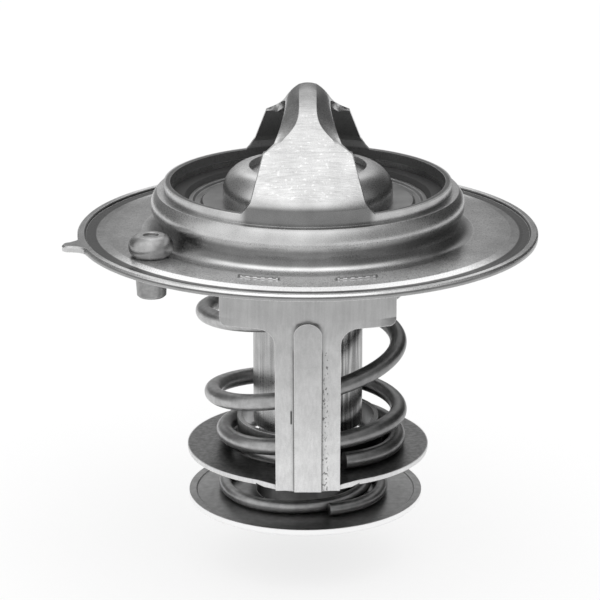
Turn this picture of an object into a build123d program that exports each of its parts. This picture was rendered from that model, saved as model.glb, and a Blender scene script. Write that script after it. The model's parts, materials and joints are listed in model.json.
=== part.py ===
from build123d import *
import os
from math import cos, radians, sin, sqrt

# Engine thermostat: a flanged valve worked by a wax element, with a bypass valve below it.
# Lengths are in millimetres. The origin is on the valve's axis, in the top plane of the
# flange rim, with +Z towards the bridge. The bridge's legs and the frame's legs lie in -Y and +Y.

# Sheet and clearances
upper_sheet = 0.7
lower_sheet = 0.7
running_clearance = 0.05
assembly_clearance = 0.02
seat_clearance = 0.02
press_clearance = 0.01
spring_clearance = 0.06

# Flange
web_width = 4.5
web_drop = 0.05
rim_width = 0.75
groove_outer_run = 0.25
groove_floor_width = 0.8
groove_inner_run = 1.4
groove_depth = 0.3
rim_rounding = 0.2
ear_angle = 194.5
ear_reach = 2.2
ear_tip_radius = 1.0
ear_base_width = 6.4
ear_root_rounding = 1.6

# Hat and collar that hold the valve seat
collar_radius = 16.8
collar_height = 5.8
hat_step_run = 0.86
hat_step_height = 4.72
hat_root_run = 2.5
hat_root_rounding = 1.4
hat_flare = 30.0

# Bridge
bend_height = 7.1
leg_base_width = 14.2
leg_bend_width = 12.9
corner_inset = 5.77
corner_height = 11.69
corner_width = 10.0
neck_run = 1.43
tangent_run = 1.6
crease_run = 2.0
crown_height = 17.12
crown_edge_height = 15.0
neck_edge_height = 12.5
crown_width = 5.2
neck_width = 7.7
crown_crease = 1.0
crease_growth = 0.148
wing_hollow = 1.5
relief_side = 3.66
relief_height = 12.36
bend_rounding = 1.3
base_flare = 0.4

# Lower frame
frame_run = 2.0
panel_width = 19.8
panel_depth = 5.9
panel_corner_rounding = 0.8
leg_rounding = 2.0
leg_width = 7.4
leg_bend_depth = 5.0
leg_flat_depth = 9.0
foot_proud = 0.29
rib_width = 3.1
rib_height = 0.5
rib_top_depth = 6.5
tab_inner = 3.3
tab_outer = 7.5
tab_proud = 0.12
tab_notches = 5
tab_notch_width = 0.35
tab_notch_depth = 0.1
frame_height = 27.4
disc_lift = 0.2
disc_sheet = 0.55
disc_radius = 14.41
disc_dip = 0.45
disc_dip_width = 12.0
disc_dip_run = 2.61
disc_collar_radius = 8.45
disc_collar_height = 3.5
disc_collar_rounding = 0.9

# Wax element
case_radius = 6.5
case_wall = 0.8
case_bottom = -24.6
case_floor = 1.0
case_bottom_rounding = 1.2
head_radius = 9.97
head_base = 3.5
head_base_wall = 1.0
head_top = 7.6
lip_radius = 6.85
crimp_radius = 3.0
piston_radius = 1.75
piston_nose_gap = 0.15
piston_nose_radius = 0.5
piston_nose_share = 1.5
piston_bottom = -17.0
piston_taper = 3.0
sleeve_wall = 1.3
sleeve_floor = 1.6
sleeve_flange_height = 0.9
slide_ring_height = 0.6
bush_neck_radius = 3.3
bush_neck_height = 11.2
bush_chamfer = 0.5
seal_radius = 2.5
seal_height = 1.2
seal_lip = 0.5

# Main valve
plate_thickness = 1.0
plate_inset = 1.6
plate_groove_inset = 2.3
plate_groove_width = 0.6
plate_groove_depth = 0.25
seal_cover = 0.05
seal_overlap = 2.9
seal_lower_lip = 0.5

# Main spring, with its rise at each sixth of a turn as a share of the whole
main_wire = 2.0
main_start_angle = -68.0
main_rises = (
    0, 0, 0, 0, 0.018, 0.052, 0.1, 0.115, 0.128, 0.145, 0.19, 0.255, 0.35, 0.425,
    0.472, 0.516, 0.564, 0.62, 0.68, 0.738, 0.797, 0.856, 0.911, 0.959, 0.99, 1, 1, 1, 1,
)
main_radii = (10.35, 10.35, 11.0, 11.2, 11.5, 12.0, 12.2, 12.2)
main_leans = (0.4, 0.4, -0.1, -0.4, -0.8, -0.3, 0, 0)

# Bypass valve
bypass_radius = 14.0
bypass_sheet = 0.8
bypass_top = -32.57
bypass_rim_width = 1.0
bypass_rim_step = 0.18
bypass_boss_radius = 5.5
bypass_boss_height = 1.2
bypass_side_play = 0.3
stem_radius = 1.9
stem_flange_radius = 4.0
stem_flange_height = 0.8
stem_hole_radius = 2.5
retainer_radius = 3.6
retainer_height = 0.5
retainer_groove = 0.5
stem_tail = 0.35
bypass_wire = 1.5
bypass_start_angle = -71.0
bypass_rises = (
    0, 0, 0, 0, 0, 0, 0.01, 0.06, 0.13, 0.21, 0.3, 0.39, 0.49, 0.6, 0.72, 0.84, 0.94, 1, 1,
)
bypass_radii = (
    9.55, 9.55, 9.5, 9.45, 9.45, 8.95, 8.0, 7.5, 7.1, 6.8, 6.5, 6.2, 5.9, 5.7, 5.5, 5.35,
    5.25, 5.25, 5.25,
)
bypass_leans = (-0.6, -0.6, -0.4, -0.2, 0)

# Jiggle pin
jiggle_run = 1.9
jiggle_angle = 212.9
jiggle_stroke = 1.0
jiggle_shank_radius = 0.9
jiggle_hole_radius = 1.35
jiggle_head_radius = 2.55
jiggle_head_foot_radius = 2.1
jiggle_head_top_radius = 1.55
jiggle_head_height = 2.4
jiggle_head_widest = 1.1
jiggle_bulb_radius = 1.83
jiggle_bulb_foot_radius = 1.68
jiggle_bulb_bottom = -4.85
jiggle_bulb_edge = 0.2

os.makedirs("parts", exist_ok=True)

# Sizes that follow from the ones above
hat_step_radius = collar_radius + hat_step_run
hat_root_radius = collar_radius + hat_root_run
groove_inner_radius = hat_root_radius + web_width
groove_floor_inner_radius = groove_inner_radius + groove_inner_run
groove_floor_outer_radius = groove_floor_inner_radius + groove_floor_width
groove_outer_radius = groove_floor_outer_radius + groove_outer_run
flange_radius = groove_outer_radius + rim_width
jiggle_place = hat_root_radius + jiggle_run
corner_depth = collar_radius - corner_inset
neck_depth = corner_depth - neck_run
tangent_depth = neck_depth - tangent_run
crease_start = tangent_depth - crease_run
frame_radius = hat_root_radius + frame_run
leg_foot_depth = disc_radius + foot_proud
disc_dip_start = disc_radius - disc_dip_run
plate_radius = collar_radius - plate_inset
plate_groove_radius = plate_radius - plate_groove_inset
seal_outer_radius = collar_radius + seal_cover
seal_inner_radius = collar_radius - seal_overlap
piston_nose_height = crown_height - upper_sheet - piston_nose_gap
web_top = -web_drop
web_bottom = web_top - upper_sheet
seat_height = hat_step_height - upper_sheet
plate_top = head_base
plate_bottom = plate_top - plate_thickness
disc_bottom = disc_lift - frame_height
disc_top = disc_bottom + disc_sheet
far = 2 * flange_radius


def front_region(width, depth, back, is_arc):
    """Outline of a region in front of the axis, with a straight or an arched front edge."""
    side = sqrt(depth**2 - width**2 / 4) if is_arc else depth
    if is_arc:
        ThreePointArc((-width / 2, -side), (0, -depth), (width / 2, -side))
    else:
        Line((-width / 2, -side), (width / 2, -side))
    Polyline((width / 2, -side), (width / 2, -back), (-width / 2, -back), (-width / 2, -side))


def curved_wedge(levels, back=1.0):
    """Solid stack in front of the axis. Each level is a height, width, front depth and whether
    its front edge is an arc about the axis, and ruled faces join one level to the next."""
    sections = []
    for height, width, depth, is_arc in levels:
        with BuildSketch(Plane.XY.offset(height)) as level:
            with BuildLine():
                front_region(width, depth, back, is_arc)
            make_face()
        sections.append(level.sketch)
    for lower, upper in zip(sections, sections[1:]):
        loft([lower, upper], ruled=True)


def widened(levels, share):
    """The same levels, each wider by a share."""
    return [(height, width * share, depth, is_arc) for height, width, depth, is_arc in levels]


def ring_strips(inner, outer, side_from, side_to):
    """Four pieces of a ring, in front of and behind the axis, between two distances to the side."""
    with BuildSketch(Plane.XY) as strips:
        Circle(outer)
        Circle(inner, mode=Mode.SUBTRACT)
        with Locations(*[(side * (side_from + side_to) / 2, 0) for side in (-1, 1)]):
            Rectangle(side_to - side_from, far, mode=Mode.INTERSECT)
    return strips.sketch


# Bridge leg: a band that rises from the collar, a bend, and a face that slopes inwards
slope = (collar_radius - corner_depth) / (corner_height - bend_height)
across = upper_sheet * sqrt(1 + slope**2)
inner_bend_height = bend_height - (across - upper_sheet) / slope
leg_foot_height = hat_step_height - upper_sheet / 2
core_share = 1.3
leg_outer_levels = [
    (leg_foot_height, leg_base_width + 2 * base_flare, collar_radius, True),
    (collar_height, leg_base_width + 2 * base_flare, collar_radius, True),
    (collar_height + base_flare, leg_base_width, collar_radius, True),
    (bend_height, leg_bend_width, collar_radius, True),
    (corner_height, corner_width, corner_depth, False),
]
leg_inner_levels = [
    (leg_foot_height, leg_base_width, collar_radius - upper_sheet, True),
    (inner_bend_height, leg_bend_width, collar_radius - upper_sheet, True),
    (corner_height, corner_width, corner_depth - across, False),
]

with BuildPart() as leg_core:
    curved_wedge(widened(leg_inner_levels, core_share))

with BuildPart() as bridge_leg:
    curved_wedge(leg_outer_levels)
    add(leg_core.part, mode=Mode.SUBTRACT)
    outer_bend = (
        bridge_leg.edges()
        .filter_by(GeomType.CIRCLE)
        .filter_by_position(Axis.Z, bend_height - 0.01, bend_height + 0.01)
    )
    fillet(outer_bend, bend_rounding)

# Crown of the bridge: an arched strip whose wings fold down further towards the middle
tangent_height = corner_height + (corner_depth - tangent_depth) / slope
crown_rise = crown_height - tangent_height
crown_power = tangent_depth / (slope * crown_rise)
middle_shares = (0.0, 0.5, 1.0)
wing_shares = (0.0, 0.2, 0.45, 0.72, 1.0)
section_shares = (1.0, 0.875, 0.73, 0.56, 0.375, 0.19, 0.0)


def ridge_height(depth):
    """Height of the strip's middle line at a distance in front of or behind the axis."""
    if depth > tangent_depth:
        return tangent_height - (depth - tangent_depth) / slope
    return crown_height - crown_rise * (depth / tangent_depth) ** crown_power


def half_width(depth):
    """Distance from the middle line to the wing's free edge."""
    return (crown_width + (neck_width - crown_width) * (depth / neck_depth) ** 2) / 2


def crease_place(depth):
    """Distance from the middle line to the crease where the wing folds down."""
    return crown_crease + crease_growth * max(0.0, depth - crease_start) ** 2


def edge_height(depth):
    """Height of the wing's free edge, which falls faster and faster towards the neck."""
    return crown_edge_height - (crown_edge_height - neck_edge_height) * (depth / neck_depth) ** 1.5


def strip_height(side, depth):
    """Height of the strip's upper face: round at the middle, creased near the neck."""
    half = half_width(depth)
    drop = ridge_height(depth) - edge_height(depth)
    apex_drop = crown_height - crown_edge_height
    arch_radius = (crown_width**2 / 4 + apex_drop**2) / (2 * apex_drop)
    share = min(abs(side) / half, 1.0)
    arch = (arch_radius - sqrt(arch_radius**2 - (share * crown_width / 2) ** 2)) / apex_drop
    crease = crease_place(depth)
    run = min(max(0.0, (abs(side) - crease) / (half - crease)), 1.0)
    folded = 1 - (1 - run) ** wing_hollow
    blend = (depth / neck_depth) ** 1.5
    return ridge_height(depth) - drop * (arch * (1 - blend) + folded * blend)


def strip_points(sides, depth):
    """Points on the strip's upper and lower faces at some distances from its middle line."""
    step = 0.01
    half = half_width(depth)
    fall = (ridge_height(depth + step) - ridge_height(depth)) / step
    upper, lower = [], []
    for side in sides:
        height = strip_height(side, depth)
        near = max(min(side, half - step), step - half)
        tilt = (strip_height(near + step, depth) - strip_height(near - step, depth)) / (2 * step)
        length = sqrt(1 + tilt**2)
        thick = upper_sheet * sqrt(1 + (fall / length) ** 2)
        upper.append((side, height))
        lower.append((side + thick * tilt / length, height - thick / length))
    return upper, lower


def strip_runs(depth):
    """Points on the left wing, the middle and the right wing at a distance from the axis."""
    half, crease = half_width(depth), crease_place(depth)
    right_wing = [crease + (half - crease) * share for share in wing_shares]
    left_wing = [-side for side in reversed(right_wing)]
    middle = [-crease * share for share in reversed(middle_shares)]
    middle += [crease * share for share in middle_shares[1:]]
    return [strip_points(sides, depth) for sides in (left_wing, middle, right_wing)]


def strip_section(place):
    """Closed outline of the strip's sheet in an upright plane across the bridge."""
    runs = strip_runs(abs(place))
    with BuildSketch(Plane.XZ.offset(-place)) as section:
        with BuildLine():
            for upper, _ in runs:
                Spline(*upper)
            Line(runs[-1][0][-1], runs[-1][1][-1])
            for _, lower in reversed(runs):
                Spline(*reversed(lower))
            Line(runs[0][1][0], runs[0][0][0])
        make_face()
    return section.sketch


# Sheet between the leg's corners and the strip's neck, with straight wings
(left_upper, left_lower), _, (right_upper, right_lower) = strip_runs(neck_depth)
with BuildSketch(Plane.XZ.offset(neck_depth)) as neck_outline:
    with BuildLine():
        Polyline(
            left_upper[0],
            left_upper[-1],
            right_upper[0],
            right_upper[-1],
            right_lower[-1],
            right_lower[0],
            left_lower[-1],
            left_lower[0],
            close=True,
        )
    make_face()
corner_crease = corner_width / 2 * crease_place(neck_depth) / half_width(neck_depth)
corner_places = [-corner_width / 2, -corner_crease, corner_crease, corner_width / 2]
with BuildSketch(Plane.XY.offset(corner_height)) as leg_top:
    with BuildLine():
        Polyline(
            *[(side, -corner_depth) for side in corner_places],
            *[(side, across - corner_depth) for side in reversed(corner_places)],
            close=True,
        )
    make_face()

with BuildPart() as bridge:
    add(bridge_leg.part)
    loft([leg_top.sketch, neck_outline.sketch], ruled=True)
    mirror(about=Plane.XZ)
    places = [-neck_depth * share for share in section_shares]
    places += [-place for place in reversed(places[:-1])]
    loft([strip_section(place) for place in places])
    with BuildSketch(Plane.XZ):
        with BuildLine():
            Polyline(
                (corner_width / 2, corner_height),
                (relief_side, relief_height),
                (neck_width / 2, neck_edge_height),
                (corner_width, neck_edge_height),
                (corner_width, corner_height),
                close=True,
            )
        make_face()
        mirror(about=Plane.YZ)
    extrude(amount=far, both=True, mode=Mode.SUBTRACT)

# Flange plate with its ear, before the web and the groove are pressed
ear_centre = flange_radius + ear_reach - ear_tip_radius
with BuildSketch(Plane.XY) as ear:
    with BuildLine():
        Polyline(
            (flange_radius - ear_reach, -ear_base_width / 2),
            (ear_centre, -ear_tip_radius),
            (ear_centre, ear_tip_radius),
            (flange_radius - ear_reach, ear_base_width / 2),
            close=True,
        )
    make_face()
    with Locations((ear_centre, 0)):
        Circle(ear_tip_radius)

with BuildSketch(Plane.XY) as flange_outline:
    Circle(flange_radius)
    add(ear.sketch, rotation=ear_angle)
    ear_roots = flange_outline.vertices().filter_by(
        lambda corner: abs(sqrt(corner.X**2 + corner.Y**2) - flange_radius) < 0.01 and corner.X < 0
    )
    fillet(ear_roots, ear_root_rounding)

# Upper frame: flange, hat, collar and bridge in one stamping
with BuildPart() as upper_frame:
    extrude(flange_outline.sketch, amount=-upper_sheet)
    chamfer(upper_frame.edges().group_by(Axis.Z)[-1], rim_rounding)
    with BuildSketch(Plane.XZ) as pressed_ring:
        with BuildLine():
            Polyline(
                (0, 0),
                (0, web_top),
                (groove_inner_radius, web_top),
                (groove_floor_inner_radius, -groove_depth),
                (groove_floor_outer_radius, -groove_depth),
                (groove_outer_radius, 0),
                close=True,
            )
        make_face()
    revolve(axis=Axis.Z, mode=Mode.SUBTRACT)
    with BuildSketch(Plane.XY.offset(web_bottom)):
        Circle(groove_inner_radius)
    extrude(amount=web_drop)
    with BuildSketch(Plane.XY.offset(web_bottom)):
        Circle(hat_root_radius)
    extrude(amount=far, both=True, mode=Mode.SUBTRACT)
    with BuildSketch(Plane.XZ) as hat_section:
        with BuildLine():
            root = JernArc(
                start=(hat_root_radius, web_top),
                tangent=(-1, 0),
                radius=hat_root_rounding,
                arc_size=-(90 + hat_flare),
            )
            bulge = TangentArc(root @ 1, (hat_step_radius, hat_step_height), tangent=root % 1)
            under_root = JernArc(
                start=(hat_root_radius, web_bottom),
                tangent=(-1, 0),
                radius=hat_root_rounding + upper_sheet,
                arc_size=-(90 + hat_flare),
            )
            bulge_centre = bulge.arc_center
            under_reach = sqrt((bulge.radius - upper_sheet) ** 2 - (seat_height - bulge_centre.Y) ** 2)
            seat_edge = (bulge_centre.X + under_reach, seat_height)
            TangentArc(under_root @ 1, seat_edge, tangent=under_root % 1)
            Polyline(
                bulge @ 1,
                (collar_radius, hat_step_height),
                (collar_radius, collar_height),
                (collar_radius - upper_sheet, collar_height),
                (collar_radius - upper_sheet, seat_height),
                seat_edge,
            )
            Line(under_root @ 0, root @ 0)
        make_face()
    revolve(axis=Axis.Z)
    add(bridge.part)
    extrude(
        ring_strips(
            frame_radius - lower_sheet - assembly_clearance,
            frame_radius + assembly_clearance,
            tab_inner - assembly_clearance,
            tab_outer + assembly_clearance,
        ),
        amount=far,
        both=True,
        mode=Mode.SUBTRACT,
    )
    with Locations(Rotation(0, 0, jiggle_angle) * Pos(jiggle_place, 0, 0)):
        Cylinder(jiggle_hole_radius, far, mode=Mode.SUBTRACT)

# Lower frame: two legs with their panels, hung from the flange, and the spring disc
lean = (frame_radius - leg_foot_depth) / (frame_height - leg_bend_depth)
flat_depth = frame_radius - lean * (leg_flat_depth - leg_bend_depth)
leg_across = lower_sheet * sqrt(1 + lean**2)
rib_across = rib_height * sqrt(1 + lean**2)
panel_top = web_bottom


def hanging_levels(offset_straight, offset_lean):
    """Levels of a hanging leg whose front face lies outside the leg's by an offset."""
    return [
        (-frame_height, panel_width, leg_foot_depth + offset_lean, False),
        (-leg_flat_depth, panel_width, flat_depth + offset_lean, False),
        (-leg_bend_depth, panel_width, frame_radius + offset_straight, True),
        (panel_top, panel_width, frame_radius + offset_straight, True),
    ]


with BuildPart() as hanging_core:
    curved_wedge(widened(hanging_levels(-lower_sheet, -leg_across), core_share))

with BuildSketch(Plane.XZ) as rib_outline:
    with Locations((0, -frame_height)):
        SlotCenterToCenter(2 * (frame_height - rib_top_depth), rib_width, rotation=90)

with BuildPart() as rib_core:
    curved_wedge(
        widened(hanging_levels(rib_height - lower_sheet, rib_across - leg_across), core_share)
    )

with BuildPart() as leg_rib:
    curved_wedge(hanging_levels(rib_height, rib_across))
    add(rib_core.part, mode=Mode.SUBTRACT)
    extrude(rib_outline.sketch, amount=far, mode=Mode.INTERSECT)

with BuildSketch(Plane.XZ) as leg_outline:
    with BuildLine():
        Polyline(
            (-leg_width / 2, -frame_height),
            (-leg_width / 2, -panel_depth),
            (-panel_width / 2, -panel_depth),
            (-panel_width / 2, panel_top),
            (panel_width / 2, panel_top),
            (panel_width / 2, -panel_depth),
            (leg_width / 2, -panel_depth),
            (leg_width / 2, -frame_height),
            close=True,
        )
    make_face()
    low_corners = leg_outline.vertices().group_by(Axis.Y)[1]
    fillet(low_corners.sort_by(Axis.X)[1:3], leg_rounding)
    outer_corners = leg_outline.vertices().filter_by(
        lambda corner: abs(abs(corner.X) - panel_width / 2) < 0.01 and corner.Y < panel_top - 0.1
    )
    fillet(outer_corners, panel_corner_rounding)

with BuildPart() as hanging_leg:
    curved_wedge(hanging_levels(0, 0))
    add(hanging_core.part, mode=Mode.SUBTRACT)
    extrude(leg_outline.sketch, amount=far, mode=Mode.INTERSECT)
    extrude(rib_outline.sketch, amount=far, mode=Mode.SUBTRACT)
    add(leg_rib.part)


def dip_strip(depth, dip):
    """Outline of the disc's edge beside a leg, pressed down by a dip in its middle."""
    places = [-disc_dip_width / 2, -leg_width / 2, leg_width / 2, disc_dip_width / 2]
    drops = [0, dip, dip, 0]
    with BuildSketch(Plane.XZ.offset(depth)) as strip:
        with BuildLine():
            Polyline(
                *[(side, disc_top - drop) for side, drop in zip(places, drops)],
                *[(side, disc_bottom - drop) for side, drop in reversed(list(zip(places, drops)))],
                close=True,
            )
        make_face()
    return strip.sketch


with BuildPart() as disc_dips:
    loft([dip_strip(disc_dip_start, 0), dip_strip(disc_radius, disc_dip)], ruled=True)
    mirror(about=Plane.XZ)
    Cylinder(disc_radius, far * 2, mode=Mode.INTERSECT)

with BuildPart() as lower_frame:
    with BuildSketch(Plane.XZ) as disc_section:
        with BuildLine():
            collar_outer_root = (disc_collar_radius + disc_collar_rounding, disc_top)
            upper_bend = RadiusArc(
                collar_outer_root,
                (disc_collar_radius, disc_top + disc_collar_rounding),
                disc_collar_rounding,
            )
            inner = disc_collar_radius - disc_sheet
            lower_bend = RadiusArc(
                (disc_collar_radius + disc_collar_rounding, disc_bottom),
                (inner, disc_top + disc_collar_rounding),
                disc_collar_rounding + disc_sheet,
            )
            Polyline(
                upper_bend @ 1,
                (disc_collar_radius, disc_top + disc_collar_height),
                (inner, disc_top + disc_collar_height),
                lower_bend @ 1,
            )
            Polyline(
                lower_bend @ 0,
                (disc_radius, disc_bottom),
                (disc_radius, disc_top),
                upper_bend @ 0,
            )
        make_face()
    revolve(axis=Axis.Z)
    with Locations(*[(0, side * (disc_dip_start + far / 2), 0) for side in (-1, 1)]):
        Box(disc_dip_width, far, far * 3, mode=Mode.SUBTRACT)
    add(disc_dips.part)
    add(hanging_leg.part)
    mirror(hanging_leg.part, about=Plane.XZ)
    for side in (-1, 1):
        with Locations((0, side * (leg_foot_depth + disc_dip_start) / 2, -frame_height)):
            Box(
                leg_width,
                leg_foot_depth - disc_dip_start,
                disc_sheet,
                align=(Align.CENTER, Align.CENTER, Align.MIN),
            )
    with BuildSketch(Plane.XY.offset(panel_top)) as tabs:
        add(ring_strips(frame_radius - lower_sheet, frame_radius, tab_inner, tab_outer))
    extrude(amount=tab_proud - panel_top)
    notch_gap = (tab_outer - tab_inner) / tab_notches
    notch_places = [tab_inner + notch_gap * (index + 0.5) for index in range(tab_notches)]
    with Locations(*[(side * place, 0, tab_proud) for side in (-1, 1) for place in notch_places]):
        Box(tab_notch_width, far, 2 * tab_notch_depth, mode=Mode.SUBTRACT)

# Piston, fixed in the bridge's crown
with BuildPart() as piston:
    with BuildSketch(Plane.XZ) as piston_section:
        with BuildLine():
            nose_drop = piston_radius - piston_nose_radius
            nose = RadiusArc(
                (piston_nose_radius, piston_nose_height),
                (piston_radius, piston_nose_height - nose_drop),
                -nose_drop * piston_nose_share,
            )
            Polyline(
                nose @ 1,
                (piston_radius, piston_bottom + piston_taper),
                (piston_radius / 2, piston_bottom),
                (0, piston_bottom),
                (0, piston_nose_height),
                nose @ 0,
            )
        make_face()
    revolve(axis=Axis.Z)


def turned(outline, origin=(0, 0, 0)):
    """Face of a turned piece, from its outline as radius and height about an upright axis."""
    with BuildSketch(Plane(origin=origin, x_dir=(1, 0, 0), z_dir=(0, -1, 0))) as face:
        with BuildLine():
            Polyline(*outline, close=True)
        make_face()
    return face.sketch


# Case of the wax element: a cup whose wide head is crimped over the guide bush
head_inner = head_radius - case_wall
crimp_centre_radius = head_radius - crimp_radius
crimp_centre_height = head_top - crimp_radius
case_inner = case_radius - case_wall
case_floor_top = case_bottom + case_floor
head_floor = head_base + head_base_wall
with BuildPart() as element_case:
    with BuildSketch(Plane.XZ) as case_section:
        with BuildLine():
            Polyline(
                (0, case_bottom),
                (case_radius, case_bottom),
                (case_radius, head_base),
                (head_radius, head_base),
                (head_radius, head_top),
                (lip_radius, head_top),
                (lip_radius, head_top - case_wall),
                (head_inner, head_top - case_wall),
                (head_inner, head_floor),
                (case_inner, head_floor),
                (case_inner, case_floor_top),
                (0, case_floor_top),
                close=True,
            )
        make_face()
        for place, rounding in (
            ((head_radius, head_top), crimp_radius),
            ((head_inner, head_top - case_wall), crimp_radius - case_wall),
            ((case_radius, case_bottom), case_bottom_rounding),
        ):
            fillet(case_section.vertices().sort_by_distance(place)[0], rounding)
    revolve(axis=Axis.Z)

# Rubber sleeve, closed at its lower end, with a flange held in the case's head
sleeve_bore = piston_radius + running_clearance
sleeve_radius = sleeve_bore + sleeve_wall
sleeve_bottom = piston_bottom - running_clearance - sleeve_floor
sleeve_top = head_floor + assembly_clearance + sleeve_flange_height
flange_reach = head_inner - assembly_clearance
crimp_fit = crimp_radius - case_wall - assembly_clearance


def crimp_reach(height):
    """Radius at which a piece held under the crimp stops, at a height."""
    return crimp_centre_radius + sqrt(crimp_fit**2 - (height - crimp_centre_height) ** 2)


with BuildPart() as rubber_sleeve:
    revolve(
        turned(
            [
                (0, sleeve_bottom),
                (sleeve_radius, sleeve_bottom),
                (sleeve_radius, head_floor + assembly_clearance),
                (flange_reach, head_floor + assembly_clearance),
                (crimp_reach(sleeve_top), sleeve_top),
                (sleeve_bore, sleeve_top),
                (sleeve_bore, sleeve_bottom + sleeve_floor),
                (0, sleeve_bottom + sleeve_floor),
            ]
        ),
        axis=Axis.Z,
    )

# Wax between the sleeve and the case
with BuildPart() as wax_charge:
    revolve(
        turned(
            [
                (0, case_floor_top + assembly_clearance),
                (case_inner - assembly_clearance, case_floor_top + assembly_clearance),
                (case_inner - assembly_clearance, head_floor),
                (sleeve_radius + assembly_clearance, head_floor),
                (sleeve_radius + assembly_clearance, sleeve_bottom - assembly_clearance),
                (0, sleeve_bottom - assembly_clearance),
            ]
        ),
        axis=Axis.Z,
    )

# Slide ring between the sleeve's mouth and the bush
slide_ring_bottom = sleeve_top + assembly_clearance
slide_ring_radius = bush_neck_radius
with BuildPart() as slide_ring:
    revolve(
        turned(
            [
                (sleeve_bore, slide_ring_bottom),
                (slide_ring_radius, slide_ring_bottom),
                (slide_ring_radius, slide_ring_bottom + slide_ring_height),
                (sleeve_bore, slide_ring_bottom + slide_ring_height),
            ]
        ),
        axis=Axis.Z,
    )

# Guide bush: its flange fills the crimped head, and its neck holds the wiper seal
bush_bottom = sleeve_top + assembly_clearance
ring_room = slide_ring_radius + assembly_clearance
ring_room_top = slide_ring_bottom + slide_ring_height + assembly_clearance
bush_crown = head_top - case_wall - assembly_clearance
seal_bottom = bush_neck_height - seal_height
with BuildPart() as guide_bush:
    with BuildSketch(Plane.XZ) as bush_section:
        with BuildLine():
            shoulder = RadiusArc(
                (crimp_reach(bush_bottom), bush_bottom), (crimp_centre_radius, bush_crown), -crimp_fit
            )
            Polyline(
                shoulder @ 1,
                (bush_neck_radius + bush_chamfer, bush_crown),
                (bush_neck_radius, bush_crown + bush_chamfer),
                (bush_neck_radius, bush_neck_height - bush_chamfer),
                (bush_neck_radius - bush_chamfer / 2, bush_neck_height),
                (seal_radius, bush_neck_height),
                (seal_radius, seal_bottom),
                (sleeve_bore, seal_bottom),
                (sleeve_bore, ring_room_top),
                (ring_room, ring_room_top),
                (ring_room, bush_bottom),
                shoulder @ 0,
            )
        make_face()
    revolve(axis=Axis.Z)

# Wiper seal in the bush's mouth
with BuildPart() as piston_seal:
    revolve(
        turned(
            [
                (sleeve_bore, seal_bottom + assembly_clearance),
                (seal_radius - assembly_clearance, seal_bottom + assembly_clearance),
                (seal_radius - assembly_clearance, bush_neck_height),
                (sleeve_bore + seal_lip / 2, bush_neck_height + seal_lip / 2),
                (sleeve_bore, bush_neck_height),
            ]
        ),
        axis=Axis.Z,
    )

# Main valve plate, pressed up under the case's head by the spring
plate_hole = case_radius + running_clearance
with BuildPart() as main_valve_plate:
    revolve(
        turned(
            [
                (plate_hole, plate_bottom),
                (plate_radius, plate_bottom),
                (plate_radius, plate_top),
                (plate_groove_radius + plate_groove_width, plate_top),
                (plate_groove_radius + plate_groove_width / 2, plate_top - plate_groove_depth),
                (plate_groove_radius - plate_groove_width / 2, plate_top - plate_groove_depth),
                (plate_groove_radius - plate_groove_width, plate_top),
                (plate_hole, plate_top),
            ]
        ),
        axis=Axis.Z,
    )

# Rubber ring moulded round the plate's edge, which closes against the hat's shoulder
seal_top = seat_height - seat_clearance
seal_low = plate_bottom - seal_lower_lip
edge_room = plate_radius + assembly_clearance
with BuildPart() as main_valve_seal:
    revolve(
        turned(
            [
                (seal_inner_radius, plate_top + assembly_clearance),
                (seal_inner_radius + seal_lower_lip, seal_top),
                (seal_outer_radius, seal_top),
                (seal_outer_radius, seal_low + seal_lower_lip),
                (seal_outer_radius - seal_lower_lip, seal_low),
                (seal_inner_radius, seal_low),
                (seal_inner_radius, plate_bottom - assembly_clearance),
                (edge_room, plate_bottom - assembly_clearance),
                (edge_room, plate_top + assembly_clearance),
            ]
        ),
        axis=Axis.Z,
    )

# Bypass stem with its spring flange, on the case's end
stem_top = case_bottom - assembly_clearance
stem_end = bypass_top - bypass_sheet + bypass_boss_height - retainer_height - stem_tail
boss_bottom = bypass_top - bypass_sheet + bypass_boss_height
retainer_top = boss_bottom - assembly_clearance
groove_radius = stem_radius - retainer_groove
with BuildPart() as bypass_stem:
    revolve(
        turned(
            [
                (0, stem_top),
                (stem_flange_radius, stem_top),
                (stem_flange_radius, stem_top - stem_flange_height),
                (stem_radius, stem_top - stem_flange_height),
                (stem_radius, retainer_top),
                (groove_radius, retainer_top),
                (groove_radius, retainer_top - retainer_height),
                (stem_radius, retainer_top - retainer_height),
                (stem_radius, stem_end),
                (0, stem_end),
            ]
        ),
        axis=Axis.Z,
    )

# Retaining ring, open at one side, that keeps the disc on the stem
with BuildPart() as bypass_retainer:
    with BuildSketch(Plane.XY.offset(retainer_top - assembly_clearance)):
        Circle(retainer_radius)
        Circle(groove_radius + assembly_clearance, mode=Mode.SUBTRACT)
        with Locations((0, retainer_radius)):
            Rectangle(2 * groove_radius, 2 * retainer_radius, mode=Mode.SUBTRACT)
    extrude(amount=2 * assembly_clearance - retainer_height)

# Bypass disc: a shallow dish with a raised rim and a raised middle, loose on its stem
dish_top = bypass_top - bypass_rim_step
boss_top = boss_bottom + bypass_sheet
rim_inner = bypass_radius - bypass_rim_width
bypass_axis = Axis((-bypass_side_play, 0, 0), (0, 0, 1))
with BuildPart() as bypass_disc:
    revolve(
        turned(
            [
                (stem_hole_radius, boss_bottom),
                (bypass_boss_radius - bypass_sheet, boss_bottom),
                (bypass_boss_radius, bypass_top - bypass_sheet),
                (bypass_radius - bypass_rim_step, bypass_top - bypass_sheet),
                (bypass_radius, bypass_top - bypass_sheet + bypass_rim_step),
                (bypass_radius, bypass_top),
                (rim_inner + bypass_rim_step, bypass_top),
                (rim_inner, dish_top),
                (bypass_boss_radius + bypass_sheet / 2, dish_top),
                (bypass_boss_radius - bypass_sheet / 2, boss_top),
                (stem_hole_radius, boss_top),
            ],
            origin=bypass_axis.position,
        ),
        axis=bypass_axis,
    )


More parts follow.
